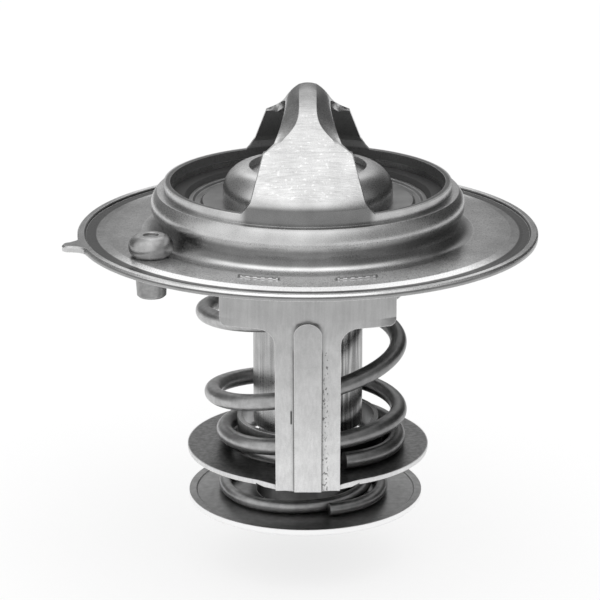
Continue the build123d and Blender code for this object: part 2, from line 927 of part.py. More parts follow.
def between(values, share):
    """Value at a share of the way along a row of values."""
    place = share * (len(values) - 1)
    index = min(int(place), len(values) - 2)
    return values[index] + (values[index + 1] - values[index]) * (place - index)


def coil_places(start_angle, low, high, rises, radii, leans):
    """Wire centre places, one for each sixth of a turn, along a coil that rises from low to high."""
    places = []
    for index, rise in enumerate(rises):
        share = index / (len(rises) - 1)
        angle = radians(start_angle + 60 * index)
        radius = between(radii, share)
        side = between(leans, share) + radius * cos(angle)
        places.append((side, radius * sin(angle), low + (high - low) * rise))
    return places


def coil(places, wire):
    """Round wire swept along a smooth curve through its places."""
    with BuildPart() as wound:
        with BuildLine() as route:
            Spline(*places)
        with BuildSketch(Plane(origin=route.line @ 0, z_dir=route.line % 0)):
            Circle(wire / 2)
        sweep(is_frenet=True)
    return wound.part


# Main spring: a cone of coils that stands on the disc and carries the valve plate
with BuildPart() as main_spring:
    add(
        coil(
            coil_places(
                main_start_angle,
                disc_top + spring_clearance + main_wire / 2,
                plate_bottom - spring_clearance - main_wire / 2,
                main_rises,
                main_radii,
                main_leans,
            ),
            main_wire,
        )
    )

# Bypass spring: a flat cone of coils between the disc and the case's end
with BuildPart() as bypass_spring:
    add(
        coil(
            coil_places(
                bypass_start_angle,
                dish_top + spring_clearance + bypass_wire / 2,
                case_bottom - spring_clearance - bypass_wire / 2,
                bypass_rises,
                bypass_radii,
                bypass_leans,
            ),
            bypass_wire,
        )
    )

# Jiggle pin and its cap, loose in the flange's vent hole
jiggle_turn = radians(jiggle_angle)
jiggle_axis = Axis(
    (jiggle_place * cos(jiggle_turn), jiggle_place * sin(jiggle_turn), 0), (0, 0, 1)
)
jiggle_bulb_top = web_bottom - jiggle_stroke - seat_clearance
jiggle_bore = jiggle_shank_radius + press_clearance
with BuildPart() as jiggle_pin:
    revolve(
        turned(
            [
                (0, jiggle_head_height - jiggle_bulb_edge),
                (jiggle_shank_radius, jiggle_head_height - jiggle_bulb_edge),
                (jiggle_shank_radius, jiggle_bulb_top),
                (jiggle_bulb_radius - jiggle_bulb_edge, jiggle_bulb_top),
                (jiggle_bulb_radius, jiggle_bulb_top - jiggle_bulb_edge),
                (jiggle_bulb_foot_radius, jiggle_bulb_bottom + jiggle_bulb_edge),
                (jiggle_bulb_foot_radius - jiggle_bulb_edge, jiggle_bulb_bottom),
                (0, jiggle_bulb_bottom),
            ],
            origin=jiggle_axis.position,
        ),
        axis=jiggle_axis,
    )

with BuildPart() as jiggle_cap:
    with BuildSketch(Plane(origin=jiggle_axis.position, x_dir=(1, 0, 0), z_dir=(0, -1, 0))):
        with BuildLine():
            cap_foot = (jiggle_head_foot_radius, web_top + seat_clearance)
            cap_shoulder = (jiggle_head_radius, jiggle_head_widest)
            cap_edge = (jiggle_head_top_radius, jiggle_head_height)
            Polyline(
                cap_edge,
                (jiggle_bore, jiggle_head_height),
                (jiggle_bore, web_top + seat_clearance),
                cap_foot,
            )
            Spline(
                cap_foot,
                cap_shoulder,
                cap_edge,
                tangents=((1, 1), (-1, 0.35)),
            )
        make_face()
    revolve(axis=jiggle_axis)

pieces = {
    "upper_frame": upper_frame,
    "lower_frame": lower_frame,
    "piston": piston,
    "element_case": element_case,
    "rubber_sleeve": rubber_sleeve,
    "wax_charge": wax_charge,
    "slide_ring": slide_ring,
    "guide_bush": guide_bush,
    "piston_seal": piston_seal,
    "main_valve_plate": main_valve_plate,
    "main_valve_seal": main_valve_seal,
    "main_spring": main_spring,
    "bypass_stem": bypass_stem,
    "bypass_retainer": bypass_retainer,
    "bypass_disc": bypass_disc,
    "bypass_spring": bypass_spring,
    "jiggle_pin": jiggle_pin,
    "jiggle_cap": jiggle_cap,
}
for name, piece in pieces.items():
    piece.part.label = name
    export_step(piece.part, f"parts/{name}.step")
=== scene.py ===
import json
from math import radians

import bmesh
import bpy
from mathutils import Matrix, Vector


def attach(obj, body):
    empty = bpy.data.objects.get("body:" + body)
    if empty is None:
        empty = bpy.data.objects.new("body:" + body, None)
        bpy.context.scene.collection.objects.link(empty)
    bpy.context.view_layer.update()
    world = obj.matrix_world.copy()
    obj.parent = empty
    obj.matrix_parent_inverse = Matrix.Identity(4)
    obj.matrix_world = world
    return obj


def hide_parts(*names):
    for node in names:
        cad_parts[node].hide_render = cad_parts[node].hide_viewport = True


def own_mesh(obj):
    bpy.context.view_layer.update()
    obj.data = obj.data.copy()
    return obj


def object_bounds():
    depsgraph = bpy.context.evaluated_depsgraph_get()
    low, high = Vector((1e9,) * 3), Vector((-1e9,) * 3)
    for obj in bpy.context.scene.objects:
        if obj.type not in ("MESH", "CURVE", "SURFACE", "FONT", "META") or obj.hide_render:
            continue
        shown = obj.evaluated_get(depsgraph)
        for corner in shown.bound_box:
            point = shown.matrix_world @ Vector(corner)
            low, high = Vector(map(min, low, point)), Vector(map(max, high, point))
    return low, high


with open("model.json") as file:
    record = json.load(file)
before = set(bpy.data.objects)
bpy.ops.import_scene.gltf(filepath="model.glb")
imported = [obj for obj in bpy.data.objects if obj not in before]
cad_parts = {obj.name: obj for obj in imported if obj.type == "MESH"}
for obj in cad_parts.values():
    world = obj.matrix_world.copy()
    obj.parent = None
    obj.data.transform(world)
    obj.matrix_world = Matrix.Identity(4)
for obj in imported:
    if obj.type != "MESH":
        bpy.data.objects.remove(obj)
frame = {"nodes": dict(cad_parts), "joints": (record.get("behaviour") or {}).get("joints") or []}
cad_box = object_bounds()
nodes = frame["nodes"]

# Lengths are in metres, in the same frame as the model
MM = 0.001

# Camera of the photograph
CAMERA_PLACE = (0, -0.3147, 0.0895)
CAMERA_PITCH = 17.37
CAMERA_LENS = 167.06
CAMERA_SENSOR = 36.0
CAMERA_SHIFT_X = -0.013
CAMERA_NEAR, CAMERA_FAR = 0.01, 20

# Floor, with the share of its own glow where it is seen
FLOOR_RADIUS = 3.0
FLOOR_GAP = 0.02 * MM
FLOOR_GLOW = 0.72

# Softbox above and a little to the right
SOFTBOX_PLACE = (0.1, -0.25, 0.6)
SOFTBOX_TILT = (radians(22), radians(9), 0)
SOFTBOX_SIZE = 0.5
SOFTBOX_POWER = 0.6

# Tent round the object. Each stop is a share of its height with the cloth's brightness there
TENT_RADIUS = 0.5
FRONT_STOPS = ((0, 0.85), (0.34, 0.95), (0.7, 1.02), (0.87, 1.2), (0.97, 1.2), (1, 1.0))
SIDE_STOPS = ((0, 0.15), (0.3, 0.18), (0.6, 0.22), (0.85, 0.65), (0.97, 1.1), (1, 1.0))
WINDOW_STOPS = ((0, 0.3), (0.26, 0.42), (0.4, 0.65), (0.5, 1.15), (0.85, 1.3), (0.97, 1.2), (1, 1.0))
WINDOW_INNER, WINDOW_OUTER = 0.35, 0.65
BEHIND_START, BEHIND_END = -0.15 * TENT_RADIUS, 0.3 * TENT_RADIUS
DIM_REACH = 0.75 * TENT_RADIUS
DIM_LEVEL = 0.36

# Grain, pits, edges brightened for wear and as a painted highlight, and painted shade in creases, that
# the materials share
GRAIN_SIZE, GRAIN_DEPTH = 0.12 * MM, 0.003 * MM
PIT_SIZE, PIT_DEPTH = 0.2 * MM, 0.01 * MM
EDGE_WIDTH = 0.12 * MM
CREASE_REACH = 0.6 * MM
BRIGHTEST = 0.97
RAY_SAMPLES = 6

# Spans of a noise's values: the narrower one gives more contrast
SPAN = (0.3, 0.7)
NARROW_SPAN = (0.35, 0.65)

# Flange's radii from the hat's root to the rim, and the tabs that are staked in it
ROOT_RADIUS = 19.3 * MM
GROOVE_START = 23.8 * MM
LIT_EDGE_END = 24.7 * MM
TROUGH_START = 24.8 * MM
RIM_START, RIM_END = 26.25 * MM, 27.0 * MM
TAB_INNER, TAB_OUTER = 3.3 * MM, 7.5 * MM
TAB_RADIUS, TAB_HALF = 20.95 * MM, 0.6 * MM

# Hat's and bridge's heights above the flange, the collar's radius and half the bridge's foot
HAT_FOOT = 0.35 * MM
HAT_WAIST = 2.6 * MM
HAT_STEP = 4.65 * MM
COLLAR_TOP, COLLAR_RADIUS = 5.8 * MM, 16.8 * MM
BRIDGE_BEND = 7.3 * MM
BRIDGE_FOOT_HALF = 7.4 * MM
CROWN_START, CROWN_TOP = 14.9 * MM, 16.7 * MM

# Lower frame's panels, ribs, slit and spring disc with its collar
PANEL_TOP, LEG_END = -4 * MM, -24 * MM
RIB_TOP, RIB_HALF = -8.2 * MM, 1.55 * MM
SLIT_LEFT, SLIT_WIDTH = -1.98 * MM, 0.2 * MM
SLIT_BOTTOM, SLIT_TOP = -18.3 * MM, -16.5 * MM
DISC_TOP, DISC_FACE_RADIUS = -26.6 * MM, 14.25 * MM
SPRING_COLLAR_TOP, SPRING_COLLAR_RADIUS = -22.6 * MM, 9.6 * MM
STAKE_BOTTOM = -0.3 * MM

# Case's head, and the bypass disc's edge and raised middle
HEAD_BASE, HEAD_SHOULDER, HEAD_TOP = 0.3 * MM, 4.0 * MM, 5.2 * MM
BYPASS_EDGE_RADIUS, BYPASS_EDGE_TOP = 13.55 * MM, -32.6 * MM
BYPASS_RAISED_RADIUS = 6.5 * MM

# Stroke of each joint, from the model itself
strokes = {joint["name"]: max(joint["range_m"]) for joint in frame["joints"]}


# Building blocks for shader trees


def new_node(tree, kind, **values):
    """A shader node with some of its properties or input values set."""
    node = tree.nodes.new(kind)
    for name, value in values.items():
        if name in node.inputs:
            node.inputs[name].default_value = value
        else:
            setattr(node, name, value)
    return node


def new_material(name, kind="ShaderNodeBsdfPrincipled"):
    """A material whose surface is one shader of the kind given."""
    material = bpy.data.materials.new(name)
    material.use_nodes = True
    tree = material.node_tree
    tree.nodes.clear()
    output = new_node(tree, "ShaderNodeOutputMaterial")
    shader = new_node(tree, kind)
    tree.links.new(shader.outputs[0], output.inputs["Surface"])
    return material, tree, shader


def feed(tree, socket, value):
    """Links another socket to this one, or sets a plain number on it."""
    if isinstance(value, bpy.types.NodeSocket):
        tree.links.new(value, socket)
    else:
        socket.default_value = value


def calc(tree, operation, first, second=0.0):
    """A maths node on sockets or numbers."""
    node = new_node(tree, "ShaderNodeMath", operation=operation)
    feed(tree, node.inputs[0], first)
    feed(tree, node.inputs[1], second)
    return node.outputs[0]


def product(tree, *values):
    """Product of several values. For masks, it is 1 where all of them are."""
    result = values[0]
    for value in values[1:]:
        result = calc(tree, "MULTIPLY", result, value)
    return result


def ramp(tree, value, low, high, to_low=0.0, to_high=1.0, smooth=True):
    """A value mapped from the range low to high, and held at its ends."""
    node = new_node(tree, "ShaderNodeMapRange")
    node.interpolation_type = "SMOOTHSTEP" if smooth else "LINEAR"
    feed(tree, node.inputs["Value"], value)
    node.inputs["From Min"].default_value = low
    node.inputs["From Max"].default_value = high
    node.inputs["To Min"].default_value = to_low
    node.inputs["To Max"].default_value = to_high
    return node.outputs["Result"]


def band(tree, value, low, high, soft):
    """1 between two limits, fading to 0 outside them."""
    rise = ramp(tree, value, low - soft, low + soft)
    fall = ramp(tree, value, high - soft, high + soft, 1.0, 0.0)
    return product(tree, rise, fall)


def blend(tree, mask, below, above, kind="FLOAT"):
    """One value, or colour, where the mask is 0 and another where it is 1."""
    node = new_node(tree, "ShaderNodeMix", data_type=kind)
    feed(tree, node.inputs["Factor"], mask)
    feed(tree, node.inputs["A"], below)
    feed(tree, node.inputs["B"], above)
    return node.outputs["Result"]


def tint(tree, grey, mask, factor):
    """The grey multiplied by a factor where the mask is 1."""
    return product(tree, grey, blend(tree, mask, 1.0, factor))


def places(tree):
    """Object space x, y and z, the radius from the valve's axis, and distances to side and end."""
    place = new_node(tree, "ShaderNodeTexCoord").outputs["Object"]
    split = new_node(tree, "ShaderNodeSeparateXYZ")
    tree.links.new(place, split.inputs["Vector"])
    x, y, z = (split.outputs[name] for name in "XYZ")
    squares = calc(tree, "ADD", product(tree, x, x), product(tree, y, y))
    return {
        "x": x,
        "y": y,
        "z": z,
        "radius": calc(tree, "SQRT", squares),
        "side": calc(tree, "ABSOLUTE", x),
        "end": calc(tree, "ABSOLUTE", y),
    }


def normals(tree):
    """The surface's own normal as x, y and z, in the same frame as the model."""
    split = new_node(tree, "ShaderNodeSeparateXYZ")
    tree.links.new(new_node(tree, "ShaderNodeNewGeometry").outputs["Normal"], split.inputs["Vector"])
    return {axis.lower(): split.outputs[axis] for axis in "XYZ"}


def inward(tree, at, normal):
    """1 where the surface faces the valve's axis."""
    across = calc(
        tree,
        "ADD",
        product(tree, at["x"], normal["x"]),
        product(tree, at["y"], normal["y"]),
    )
    return ramp(tree, calc(tree, "DIVIDE", across, at["radius"]), -0.2, -0.7)


def grain(tree, size, stretch=(1, 1, 1), detail=3.0):
    """Noise in object space. Size is in metres, and stretch draws it out along an axis."""
    place = new_node(tree, "ShaderNodeTexCoord").outputs["Object"]
    mapping = new_node(tree, "ShaderNodeMapping")
    mapping.inputs["Scale"].default_value = [1 / (size * share) for share in stretch]
    noise = new_node(tree, "ShaderNodeTexNoise", Scale=1.0, Detail=detail)
    tree.links.new(place, mapping.inputs["Vector"])
    tree.links.new(mapping.outputs["Vector"], noise.inputs["Vector"])
    return noise.outputs["Fac"]


def spots(tree, size, share, stretch=(1, 1, 1)):
    """1 on scattered spots. They cover more of the surface with a larger share."""
    edge = 0.5 + 0.3 * (1 - share) ** 2
    return ramp(tree, grain(tree, size, stretch, detail=1.0), edge, edge + 0.04)


# Metals, and surfaces that aren't metal


def edge_highlight_and_crease_shade(tree, grey, rounded, wear_and_highlight, crease_shade):
    """The grey brightened at edges, where the rounded normal turns away, for wear and as a painted
    highlight, and darkened in creases as painted shade.
    """
    hollow = new_node(tree, "ShaderNodeAmbientOcclusion", Distance=CREASE_REACH)
    hollow.samples = RAY_SAMPLES
    hollow.only_local = True
    # Painted shade: the grey darkens in creases that the occlusion finds
    open_share = ramp(tree, hollow.outputs["AO"], 0.45, 0.95)
    grey = product(tree, grey, blend(tree, open_share, crease_shade, 1.0))
    facing = new_node(tree, "ShaderNodeVectorMath", operation="DOT_PRODUCT")
    tree.links.new(rounded.outputs["Normal"], facing.inputs[0])
    tree.links.new(new_node(tree, "ShaderNodeNewGeometry").outputs["Normal"], facing.inputs[1])
    # Painted highlight, with wear: edges where the rounded normal turns away get the brighter grey
    turned = ramp(tree, facing.outputs["Value"], 0.86, 0.995, 1.0, 0.0)
    return blend(tree, product(tree, turned, open_share), grey, wear_and_highlight)


def metal(name, dark, light, rough, paint=None, shade_and_dulling=None, blotch=2.5 * MM, wear_and_highlight=0.9, crease_shade=0.55):
    """Satin metal: blotched grey with fine grain, edges brightened for wear and as a painted highlight,
    and painted shade in creases.
    """
    material, tree, shader = new_material(name)
    shader.inputs["Metallic"].default_value = 1.0
    at = places(tree)
    fine = grain(tree, GRAIN_SIZE)
    grey = ramp(tree, grain(tree, blotch, detail=5.0), *SPAN, dark, light, smooth=False)
    grey = product(tree, grey, ramp(tree, fine, *SPAN, 0.93, 1.07, smooth=False))
    if paint:
        grey = paint(tree, grey, at)
    rounded = new_node(tree, "ShaderNodeBevel", Radius=EDGE_WIDTH)
    rounded.samples = RAY_SAMPLES
    grey = edge_highlight_and_crease_shade(tree, grey, rounded, wear_and_highlight, crease_shade)
    grey = calc(tree, "MINIMUM", grey, BRIGHTEST)
    # Where a material has one, this paints shade on shadowed insides and lowers the metallic share
    if shade_and_dulling:
        grey, metallic = shade_and_dulling(tree, grey, at)
        tree.links.new(metallic, shader.inputs["Metallic"])
    tree.links.new(grey, shader.inputs["Base Color"])
    tree.links.new(ramp(tree, fine, *SPAN, rough * 0.85, rough * 1.15), shader.inputs["Roughness"])
    bump = new_node(tree, "ShaderNodeBump", Distance=GRAIN_DEPTH)
    tree.links.new(fine, bump.inputs["Height"])
    tree.links.new(rounded.outputs["Normal"], bump.inputs["Normal"])
    tree.links.new(bump.outputs["Normal"], shader.inputs["Normal"])
    return material


def dull(name, dark, light, rough):
    """Plain non-metal surface, such as rubber, with a pitted grain."""
    material, tree, shader = new_material(name)
    fine = grain(tree, PIT_SIZE)
    tree.links.new(ramp(tree, fine, *SPAN, dark, light), shader.inputs["Base Color"])
    shader.inputs["Roughness"].default_value = rough
    bump = new_node(tree, "ShaderNodeBump", Distance=PIT_DEPTH)
    tree.links.new(fine, bump.inputs["Height"])
    tree.links.new(bump.outputs["Normal"], shader.inputs["Normal"])
    return material


# Upper frame: what the press tools, wear and handling left on it, and painted light and shade


def paint_bridge(tree, grey, at, normal):
    """Brushed bridge with bright specks, with painted light on its face and painted shade at its sides,
    at its crown and at its foot.
    """
    bridge = ramp(tree, at["z"], BRIDGE_BEND, BRIDGE_BEND + 0.6 * MM)
    brushed = ramp(tree, grain(tree, 0.13 * MM, (16, 1, 1)), 0.35, 0.7, 0.86, 1.1, smooth=False)
    grey = tint(tree, grey, bridge, brushed)
    # Painted light and shade: the face lighter, the sides, which turn away, darker
    sideways = ramp(tree, calc(tree, "ABSOLUTE", normal["x"]), 0.2, 0.5)
    grey = tint(tree, grey, bridge, blend(tree, sideways, 1.2, 0.85))
    specks = product(tree, bridge, spots(tree, 0.34 * MM, 0.3, (1.5, 1, 1)))
    grey = tint(tree, grey, specks, 1.25)
    # Painted shade: the crown darker as it rises
    grey = tint(tree, grey, ramp(tree, at["z"], CROWN_START, CROWN_TOP), 0.5)
    # Painted shade: a dark band at the bridge's foot
    foot = product(
        tree,
        ramp(tree, at["side"], BRIDGE_FOOT_HALF - 0.6 * MM, BRIDGE_FOOT_HALF + 0.4 * MM, 1.0, 0.0),
        band(tree, at["z"], HAT_STEP + 0.1 * MM, BRIDGE_BEND - 0.5 * MM, 0.3 * MM),
    )
    return tint(tree, grey, foot, 0.36)


def paint_hat(tree, grey, at, normal):
    """Hat with painted highlights on its shoulder and root, painted shade on its waist and its right,
    and a dark inner brim.
    """
    # Painted highlight on the shoulder
    grey = tint(tree, grey, band(tree, at["z"], HAT_WAIST + 0.4 * MM, HAT_STEP, 0.5 * MM), 1.05)
    # Painted shade on the waist, deepest at front and back
    waist = band(tree, at["z"], HAT_FOOT, HAT_WAIST, 0.45 * MM)
    grey = tint(tree, grey, waist, ramp(tree, at["side"], 11 * MM, 15 * MM, 0.36, 0.66))
    # Painted highlight on the root towards both ends, painted shade at its sides
    root = product(
        tree,
        band(tree, at["radius"], ROOT_RADIUS - 1.3 * MM, ROOT_RADIUS + 0.1 * MM, 0.06 * MM),
        ramp(tree, at["z"], HAT_FOOT, HAT_FOOT + 0.3 * MM, 1.0, 0.0),
    )
    grey = tint(tree, grey, root, ramp(tree, at["end"], 10 * MM, 17 * MM, 0.75, 2.1))
    # Painted shade: the hat darker towards its right
    right = product(
        tree,
        ramp(tree, at["radius"], ROOT_RADIUS + 0.2 * MM, ROOT_RADIUS, smooth=False),
        ramp(tree, at["x"], 4 * MM, 17 * MM),
        ramp(tree, at["z"], BRIDGE_BEND, BRIDGE_BEND - 1 * MM),
    )
    grey = tint(tree, grey, right, 0.8)
    brim = product(
        tree,
        band(tree, at["z"], COLLAR_TOP - 0.04 * MM, COLLAR_TOP + 0.04 * MM, 0.01 * MM),
        ramp(tree, normal["z"], 0.8, 0.95),
        ramp(tree, at["radius"], COLLAR_RADIUS - 0.1 * MM, COLLAR_RADIUS - 0.3 * MM),
    )
    return tint(tree, grey, brim, 0.22)


def paint_web(tree, grey, at, normal):
    """Mottled web round the hat, with painted light: brighter towards the hat and towards both ends."""
    web = product(
        tree,
        ramp(tree, at["radius"], ROOT_RADIUS + 0.05 * MM, ROOT_RADIUS + 0.25 * MM),
        ramp(tree, normal["z"], 0.9, 0.98),
    )
    grey = tint(tree, grey, web, ramp(tree, grain(tree, 0.35 * MM, detail=6.0), *NARROW_SPAN, 0.9, 1.1))
    # Painted light and shade: brighter towards both ends, darker at the sides
    grey = tint(tree, grey, web, ramp(tree, at["end"], 9 * MM, 21 * MM, 0.45, 1.2))
    # Painted reflection of the hat: brighter close to it
    beside_hat = ramp(tree, at["radius"], ROOT_RADIUS + 1.2 * MM, GROOVE_START, 1.5, 1.15)
    return tint(tree, grey, web, beside_hat)


def paint_rim(tree, grey, at, normal):
    """Groove with a painted highlight on its edge and painted shade in its trough, a painted highlight
    on the rim, and painted shade on the rim's side.
    """
    ends = ramp(tree, at["end"], 8 * MM, 22 * MM)
    upper = ramp(tree, normal["z"], 0.3, 0.6)
    lit_edge = band(tree, at["radius"], GROOVE_START, LIT_EDGE_END, 0.05 * MM)
    grey = tint(tree, grey, product(tree, lit_edge, upper, ends), 2.0)
    # Painted shade in the groove's trough
    trough = band(tree, at["radius"], TROUGH_START, RIM_START - 0.1 * MM, 0.07 * MM)
    grey = tint(tree, grey, product(tree, trough, upper), 0.18)
    # Painted highlight on the rim, brighter towards both ends
    rim = product(tree, band(tree, at["radius"], RIM_START, RIM_END, 0.05 * MM), upper)
    grey = tint(tree, grey, rim, 1.1)
    grey = tint(tree, grey, product(tree, rim, ends), 1.35)
    # Painted shade on the rim's side, with a darker line
    rim_side = product(
        tree,
        band(tree, at["radius"], RIM_END - 0.15 * MM, RIM_END + 0.1 * MM, 0.03 * MM),
        ramp(tree, normal["z"], 0.4, 0.0),
    )
    grey = tint(tree, grey, rim_side, 0.6)
    side_line = band(tree, at["z"], -0.42 * MM, -0.1 * MM, 0.05 * MM)
    return tint(tree, grey, product(tree, rim_side, side_line), 0.5)


def paint_flange(tree, grey, at):
    """The whole upper frame, with painted shade in the slots round its staked tabs as dark outlines."""
    normal = normals(tree)
    for paint_part in (paint_bridge, paint_hat, paint_web, paint_rim):
        grey = paint_part(tree, grey, at, normal)
    # Painted shade in the gaps round the staked tabs
    outline = product(
        tree,
        band(tree, at["side"], TAB_INNER - 0.25 * MM, TAB_OUTER + 0.25 * MM, 0.1 * MM),
        band(tree, at["radius"], TAB_RADIUS - TAB_HALF, TAB_RADIUS + TAB_HALF, 0.1 * MM),
        band(tree, at["z"], -1 * MM, 0.3 * MM, 0.05 * MM),
    )
    return tint(tree, grey, outline, 0.3)


def shade_and_dull_flange(tree, grey, at):
    """Less metallic places: the inside of hat and bridge, darkened as painted shade, and web and groove
    edge at the ends.
    """
    normal = normals(tree)
    inside = product(tree, inward(tree, at, normal), ramp(tree, at["z"], HAT_STEP, HAT_STEP + 0.1 * MM))
    bridge = ramp(tree, at["z"], BRIDGE_BEND, BRIDGE_BEND + 0.3 * MM, 0.27, 0.2)
    collar = ramp(tree, at["z"], COLLAR_TOP, COLLAR_TOP + 0.3 * MM, 1.0, 0.0)
    # Painted shade: the inside of hat and bridge gets a dark grey, darkest inside the collar
    grey = blend(tree, inside, grey, blend(tree, collar, bridge, 0.13))
    pale = product(
        tree,
        ramp(tree, at["end"], 8 * MM, 22 * MM),
        ramp(tree, at["radius"], ROOT_RADIUS + 0.3 * MM, ROOT_RADIUS + 0.8 * MM),
        ramp(tree, at["radius"], GROOVE_START - 0.1 * MM, GROOVE_START, 0.3, 1.0),
        ramp(tree, at["radius"], TROUGH_START, LIT_EDGE_END),
        ramp(tree, normal["z"], 0.3, 0.6),
    )
    return grey, blend(tree, calc(tree, "MAXIMUM", inside, pale), 1.0, 0.35)


# Lower frame and the turned and coiled pieces


def paint_ribs(tree, grey, at):
    """Painted shade along the ribs' edges, pits beside the ribs, and one slit painted dark as the shade
    in it.
    """
    leg = ramp(tree, at["z"], RIB_TOP, RIB_TOP - 0.8 * MM)
    # Painted shade along the step at each rib's edge
    rib_edge_shade = band(tree, at["side"], RIB_HALF - 0.02 * MM, RIB_HALF + 0.14 * MM, 0.06 * MM)
    grey = tint(tree, grey, product(tree, leg, rib_edge_shade), 0.5)
    beside = band(tree, at["x"], RIB_HALF + 0.1 * MM, RIB_HALF + 0.75 * MM, 0.15 * MM)
    pits = product(tree, beside, leg, spots(tree, 0.24 * MM, 0.5, (1, 1, 2.2)))
    grey = tint(tree, grey, pits, 0.35)
    # Painted shade: the slit as a dark line
    slit = product(
        tree,
        band(tree, at["x"], SLIT_LEFT, SLIT_LEFT + SLIT_WIDTH, 0.05 * MM),
        band(tree, at["z"], SLIT_BOTTOM, SLIT_TOP, 0.15 * MM),
    )
    return tint(tree, grey, slit, 0.15)


def paint_frame(tree, grey, at):
    """Panels darkening upwards as painted shade, streaks down the legs, a spring disc dark in its own
    finish and in painted shade, its collar darker to the right as painted shade, and bright staked tabs.
    """
    streaks = ramp(tree, grain(tree, 0.3 * MM, (1, 1, 22)), *NARROW_SPAN, 0.95, 1.03)
    # Painted light and shade: the legs lighter low down, the panels darker up under the flange
    painted_shade_upwards = ramp(tree, at["z"], LEG_END, PANEL_TOP, 1.08, 0.62, smooth=False)
    grey = paint_ribs(tree, product(tree, grey, streaks, painted_shade_upwards), at)
    # The spring disc's top: a darker finish, and painted shade under the frame
    disc = product(
        tree,
        ramp(tree, at["radius"], DISC_FACE_RADIUS, DISC_FACE_RADIUS + 0.15 * MM, 1.0, 0.0),
        ramp(tree, at["z"], DISC_TOP, DISC_TOP + 0.4 * MM, 1.0, 0.0),
        ramp(tree, normals(tree)["z"], 0.85, 0.97),
    )
    grey = blend(tree, disc, grey, ramp(tree, grain(tree, 0.5 * MM, detail=5.0), *SPAN, 0.16, 0.26))
    collar = product(
        tree,
        ramp(tree, at["radius"], SPRING_COLLAR_RADIUS, SPRING_COLLAR_RADIUS + 0.2 * MM, 1.0, 0.0),
        ramp(tree, at["z"], SPRING_COLLAR_TOP, SPRING_COLLAR_TOP + 0.4 * MM, 1.0, 0.0),
    )
    # Painted shade: the collar darker towards its right
    grey = tint(tree, grey, collar, ramp(tree, at["x"], -2 * MM, 4 * MM, 0.7, 0.25))
    return blend(tree, ramp(tree, at["z"], STAKE_BOTTOM, STAKE_BOTTOM + 0.15 * MM), grey, 0.9)


def paint_case(tree, grey, at):
    """Drawing streaks down the case, deepened on its right as painted shade, and a painted highlight on
    the head, brighter to the left, with painted shade on its top.
    """
    # Painted shade: the streaks are deeper towards the right
    right = ramp(tree, at["x"], 1.5 * MM, 4.5 * MM)
    below = ramp(tree, at["z"], -3 * MM, -1 * MM, 1.0, 0.0)
    streaks = ramp(tree, grain(tree, 0.42 * MM, (1, 1, 24)), *NARROW_SPAN, 0.3, 1.05)
    grey = tint(tree, grey, product(tree, below, blend(tree, right, 0.4, 1.0)), streaks)
    # Painted highlight on the head, brighter to the left
    head = ramp(tree, at["z"], HEAD_BASE, HEAD_BASE + 1.5 * MM)
    grey = tint(tree, grey, head, ramp(tree, at["x"], -4 * MM, 4 * MM, 2.1, 1.6))
    # Painted shade on the head's top
    return tint(tree, grey, ramp(tree, at["z"], HEAD_SHOULDER, HEAD_TOP), 0.75)


def paint_wire(tree, grey, at):
    """Painted light and shade: lighter on the left, darker towards the right."""
    return product(tree, grey, ramp(tree, at["x"], -11 * MM, 11 * MM, 1.3, 0.62))


def paint_disc(tree, grey, at):
    """Bypass disc with a painted highlight on its outer edge and a darker raised middle."""
    # Painted highlight on the outer edge
    edge = product(
        tree,
        ramp(tree, at["radius"], BYPASS_EDGE_RADIUS, BYPASS_EDGE_RADIUS + 0.15 * MM),
        ramp(tree, at["z"], BYPASS_EDGE_TOP, BYPASS_EDGE_TOP - 0.02 * MM),
    )
    raised = ramp(tree, at["radius"], BYPASS_RAISED_RADIUS + 1 * MM, BYPASS_RAISED_RADIUS)
    return blend(tree, edge, tint(tree, grey, raised, 0.35), 0.95)


flange_metal = metal(
    "flange_metal", dark=0.52, light=0.66, rough=0.3, paint=paint_flange, shade_and_dulling=shade_and_dull_flange, crease_shade=0.8
)
frame_metal = metal("frame_metal", dark=0.6, light=0.7, rough=0.34, paint=paint_frame)
case_metal = metal("case_metal", dark=0.4, light=0.52, rough=0.3, paint=paint_case)
cap_metal = metal("cap_metal", dark=0.36, light=0.56, rough=0.32, blotch=1.2 * MM)
vent_metal = metal("vent_metal", dark=0.24, light=0.36, rough=0.34, blotch=0.6 * MM)
plate_metal = metal("plate_metal", dark=0.22, light=0.32, rough=0.34)
disc_metal = metal("disc_metal", dark=0.3, light=0.42, rough=0.34, paint=paint_disc, blotch=0.8 * MM)
wire_metal = metal(
    "wire_metal", dark=0.3, light=0.42, rough=0.36, paint=paint_wire, blotch=0.9 * MM, wear_and_highlight=0.4
)
pin_metal = metal("pin_metal", dark=0.5, light=0.6, rough=0.2)
rubber = dull("rubber", dark=0.02, light=0.035, rough=0.6)
wax = dull("wax", dark=0.6, light=0.7, rough=0.5)
plastic = dull("plastic", dark=0.75, light=0.8, rough=0.4)

looks = {
    "upper_frame": flange_metal,
    "lower_frame": frame_metal,
    "piston": pin_metal,
    "element_case": case_metal,
    "rubber_sleeve": rubber,
    "wax_charge": wax,
    "slide_ring": plastic,
    "guide_bush": case_metal,
    "piston_seal": rubber,
    "main_valve_plate": plate_metal,
    "main_valve_seal": rubber,
    "main_spring": wire_metal,
    "bypass_stem": disc_metal,
    "bypass_retainer": disc_metal,
    "bypass_disc": disc_metal,
    "bypass_spring": wire_metal,
    "jiggle_pin": vent_metal,
    "jiggle_cap": cap_metal,
}
for node_name, material in looks.items():
    for material_slot in nodes[node_name].material_slots:
        material_slot.material = material


def add_object(name, data):
    """An object with this data, in the scene."""
    added = bpy.data.objects.new(name, data)
    bpy.context.scene.collection.objects.link(added)
    return added


# Springs


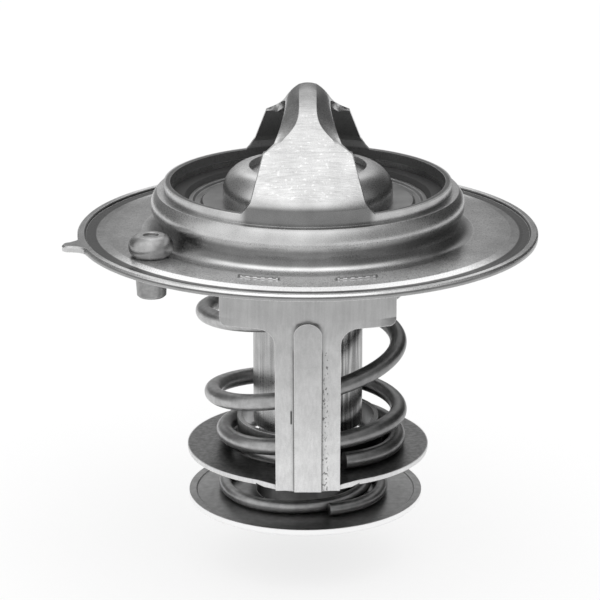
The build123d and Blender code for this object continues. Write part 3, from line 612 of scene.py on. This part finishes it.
def sprung(node_name, body):
    """A coil spring copied from the model's rigid one, in its place, riding with one body."""
    spring = add_object(node_name + "_coils", nodes[node_name].data.copy())
    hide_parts(node_name)
    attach(spring, body)
    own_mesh(spring)


sprung("main_spring", "frame")
sprung("bypass_spring", "element")


# Floor and tent


def add_mesh(name, make_shape, material, **sizes):
    """A mesh object of one plain shape and one material."""
    shape = bmesh.new()
    make_shape(shape, **sizes)
    mesh = bpy.data.meshes.new(name)
    shape.to_mesh(mesh)
    shape.free()
    mesh.materials.append(material)
    return add_object(name, mesh)


def floor_cloth():
    """White wherever it is seen or mirrored, with a soft shadow of the object."""
    material, tree, shader = new_material("floor_white")
    shader.inputs["Base Color"].default_value = (0.98, 0.98, 0.98, 1)
    shader.inputs["Roughness"].default_value = 0.9
    shader.inputs["Specular IOR Level"].default_value = 0.0
    glow = new_node(tree, "ShaderNodeEmission", Strength=1.0)
    ray = new_node(tree, "ShaderNodeLightPath").outputs
    seen = calc(tree, "MAXIMUM", ray["Is Camera Ray"], ray["Is Glossy Ray"])
    seen = calc(tree, "MAXIMUM", seen, ray["Is Transmission Ray"])
    mix = new_node(tree, "ShaderNodeMixShader")
    tree.links.new(product(tree, seen, FLOOR_GLOW), mix.inputs["Fac"])
    tree.links.new(shader.outputs["BSDF"], mix.inputs[1])
    tree.links.new(glow.outputs["Emission"], mix.inputs[2])
    tree.links.new(mix.outputs["Shader"], tree.nodes["Material Output"].inputs["Surface"])
    return material


def cloth_level(tree, height, stops):
    """Brightness of the tent's cloth at a height, from its stops."""
    node = new_node(tree, "ShaderNodeValToRGB")
    tree.links.new(calc(tree, "DIVIDE", height, TENT_RADIUS), node.inputs["Fac"])
    elements = node.color_ramp.elements
    for _ in stops[2:]:
        elements.new(0.5)
    for element, (place, level) in zip(elements, stops):
        element.position = place
        element.color = (level, level, level, 1)
    return node.outputs["Color"]


def tent_cloth():
    """Cloth that glows: bright in front, a bright window and dark sides behind, dimmer to the right."""
    material, tree, shader = new_material("tent_cloth", "ShaderNodeEmission")
    at = places(tree)
    front, side, window = (
        cloth_level(tree, at["z"], stops) for stops in (FRONT_STOPS, SIDE_STOPS, WINDOW_STOPS)
    )
    across = calc(tree, "DIVIDE", at["side"], at["radius"])
    in_window = ramp(tree, across, WINDOW_INNER, WINDOW_OUTER, 1.0, 0.0)
    behind = ramp(tree, at["y"], BEHIND_START, BEHIND_END)
    colour = blend(tree, behind, front, blend(tree, in_window, side, window, "RGBA"), "RGBA")
    tree.links.new(colour, shader.inputs["Color"])
    tree.links.new(ramp(tree, at["x"], 0, DIM_REACH, 1.0, DIM_LEVEL), shader.inputs["Strength"])
    return material


# The floor lies below the bypass disc at the element's full stroke
floor = add_mesh(
    "floor", bmesh.ops.create_circle, floor_cloth(), cap_ends=True, segments=96, radius=FLOOR_RADIUS
)
floor.location = (0, 0, cad_box[0][2] - strokes["element_slide"] - FLOOR_GAP)

# Only mirrored rays meet the tent
tent = add_mesh(
    "tent", bmesh.ops.create_uvsphere, tent_cloth(), u_segments=48, v_segments=32, radius=TENT_RADIUS
)
tent.visible_camera = False
tent.visible_diffuse = False
tent.visible_shadow = False
tent.visible_transmission = False

# Light: a plain white world and the softbox
world = bpy.data.worlds.new("white")
bpy.context.scene.world = world
world.use_nodes = True
background = world.node_tree.nodes["Background"]
background.inputs["Color"].default_value = (1, 1, 1, 1)
background.inputs["Strength"].default_value = 1.0
softbox_light = bpy.data.lights.new("softbox", "AREA")
softbox_light.shape = "DISK"
softbox_light.size = SOFTBOX_SIZE
softbox_light.energy = SOFTBOX_POWER
softbox = add_object("softbox", softbox_light)
softbox.location = SOFTBOX_PLACE
softbox.rotation_euler = SOFTBOX_TILT

# Camera
camera_data = bpy.data.cameras.new("camera")
camera_data.lens = CAMERA_LENS
camera_data.sensor_width = CAMERA_SENSOR
camera_data.shift_x = CAMERA_SHIFT_X
camera_data.clip_start = CAMERA_NEAR
camera_data.clip_end = CAMERA_FAR
camera = add_object("camera", camera_data)
camera.location = CAMERA_PLACE
camera.rotation_euler = (radians(90 - CAMERA_PITCH), 0, 0)
bpy.context.scene.camera = camera
bpy.context.scene.view_settings.view_transform = "Standard"
